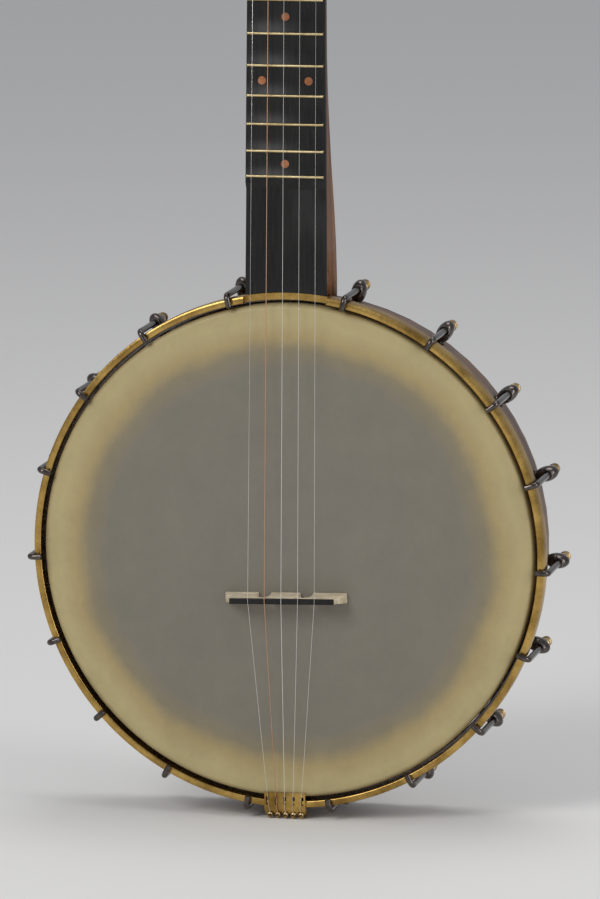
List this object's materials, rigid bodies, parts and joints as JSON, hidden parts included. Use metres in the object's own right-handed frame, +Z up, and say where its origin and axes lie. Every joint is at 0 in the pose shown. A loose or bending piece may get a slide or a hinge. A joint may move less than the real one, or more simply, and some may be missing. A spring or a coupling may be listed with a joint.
{
  "type": "banjo",
  "caption": "Open-back banjo with a round wooden pot, brass tension hoop, bracket hooks, long walnut neck, short drone string and geared tuning pegs.",
  "frame": {"origin": "middle of the back of the neck, a little below the nut, where a hanger's yoke carries the instrument", "axes": "+Z up from the tail towards the peghead, -Y out of the front of the head, +X to the right of a viewer who faces the head"},
  "size_m": [0.3354, 0.1198, 0.9072],
  "materials": {
    "walnut": "satin lacquer",
    "maple": "bare satin",
    "ebony": "satin black",
    "bone": "polished bone",
    "head_skin": "matt translucent skin",
    "brass": "aged bare brass",
    "dark_nickel": "dark polished nickel",
    "steel": "bright wire",
    "bronze": "copper-coloured wound wire"
  },
  "bodies": {
    "instrument": {"bracket_01": "dark_nickel", "bracket_02": "dark_nickel", "bracket_03": "dark_nickel", "bracket_04": "dark_nickel", "bracket_05": "dark_nickel", "bracket_06": "dark_nickel", "bracket_07": "dark_nickel", "bracket_08": "dark_nickel", "bracket_09": "dark_nickel", "bracket_10": "dark_nickel", "bracket_11": "dark_nickel", "bracket_12": "dark_nickel", "bracket_13": "dark_nickel", "bracket_14": "dark_nickel", "bracket_15": "dark_nickel", "bracket_16": "dark_nickel", "bracket_17": "dark_nickel", "bracket_18": "dark_nickel", "bridge": "maple", "bridge_saddle": "ebony", "dowel_stick": "walnut", "end_bolt": "brass", "fifth_string_nut": "bone", "fifth_tuner_housing": "brass", "fingerboard": "ebony", "flesh_hoop": "steel", "head": "head_skin", "neck": "walnut", "neck_brace": "brass", "nut": "bone", "peghead_overlay": "ebony", "rim": "walnut", "string_1": "steel", "string_2": "steel", "string_3": "steel", "string_4": "bronze", "string_5": "steel", "tailpiece": "brass", "tension_hoop": "brass", "tone_ring": "brass", "tuner_1_housing": "brass", "tuner_2_housing": "brass", "tuner_3_housing": "brass", "tuner_4_housing": "brass"},
    "tuner_1_knob_body": {"tuner_1_knob": "ebony"},
    "tuner_1_post_body": {"tuner_1_post": "brass"},
    "tuner_2_knob_body": {"tuner_2_knob": "ebony"},
    "tuner_2_post_body": {"tuner_2_post": "brass"},
    "tuner_3_knob_body": {"tuner_3_knob": "ebony"},
    "tuner_3_post_body": {"tuner_3_post": "brass"},
    "tuner_4_knob_body": {"tuner_4_knob": "ebony"},
    "tuner_4_post_body": {"tuner_4_post": "brass"},
    "fifth_tuner_knob_body": {"fifth_tuner_knob": "ebony"},
    "fifth_tuner_post_body": {"fifth_tuner_post": "brass"}
  },
  "joints": [
    {"name": "tuner_1_turn", "type": "hinge", "parent": "instrument", "child": "tuner_1_knob_body", "pos_m": [0.0243, -0.00403, 0.05598], "axis": [0, 0.9549, -0.2969], "continuous": true},
    {"name": "tuner_1_wind", "type": "hinge", "parent": "instrument", "child": "tuner_1_post_body", "pos_m": [0.0243, -0.00403, 0.05598], "axis": [0, 0.9549, -0.2969], "continuous": true},
    {"name": "tuner_2_turn", "type": "hinge", "parent": "instrument", "child": "tuner_2_knob_body", "pos_m": [0.0223, 0.01319, 0.11137], "axis": [0, 0.9549, -0.2969], "continuous": true},
    {"name": "tuner_2_wind", "type": "hinge", "parent": "instrument", "child": "tuner_2_post_body", "pos_m": [0.0223, 0.01319, 0.11137], "axis": [0, 0.9549, -0.2969], "continuous": true},
    {"name": "tuner_3_turn", "type": "hinge", "parent": "instrument", "child": "tuner_3_knob_body", "pos_m": [-0.0187, 0.01319, 0.11137], "axis": [0, 0.9549, -0.2969], "continuous": true},
    {"name": "tuner_3_wind", "type": "hinge", "parent": "instrument", "child": "tuner_3_post_body", "pos_m": [-0.0187, 0.01319, 0.11137], "axis": [0, 0.9549, -0.2969], "continuous": true},
    {"name": "tuner_4_turn", "type": "hinge", "parent": "instrument", "child": "tuner_4_knob_body", "pos_m": [-0.0207, -0.00403, 0.05598], "axis": [0, 0.9549, -0.2969], "continuous": true},
    {"name": "tuner_4_wind", "type": "hinge", "parent": "instrument", "child": "tuner_4_post_body", "pos_m": [-0.0207, -0.00403, 0.05598], "axis": [0, 0.9549, -0.2969], "continuous": true},
    {"name": "fifth_tuner_turn", "type": "hinge", "parent": "instrument", "child": "fifth_tuner_knob_body", "pos_m": [-0.01537, -0.01445, -0.11614], "axis": [-1, 0, 0], "continuous": true},
    {"name": "fifth_tuner_wind", "type": "hinge", "parent": "instrument", "child": "fifth_tuner_post_body", "pos_m": [-0.01537, -0.01445, -0.11614], "axis": [-1, 0, 0], "continuous": true}
  ],
  "couplings": [
    {"joint": "tuner_1_wind", "follows": "tuner_1_turn", "ratio": 0.25},
    {"joint": "tuner_2_wind", "follows": "tuner_2_turn", "ratio": 0.25},
    {"joint": "tuner_3_wind", "follows": "tuner_3_turn", "ratio": 0.25},
    {"joint": "tuner_4_wind", "follows": "tuner_4_turn", "ratio": 0.25},
    {"joint": "fifth_tuner_wind", "follows": "fifth_tuner_turn", "ratio": 0.25}
  ]
}
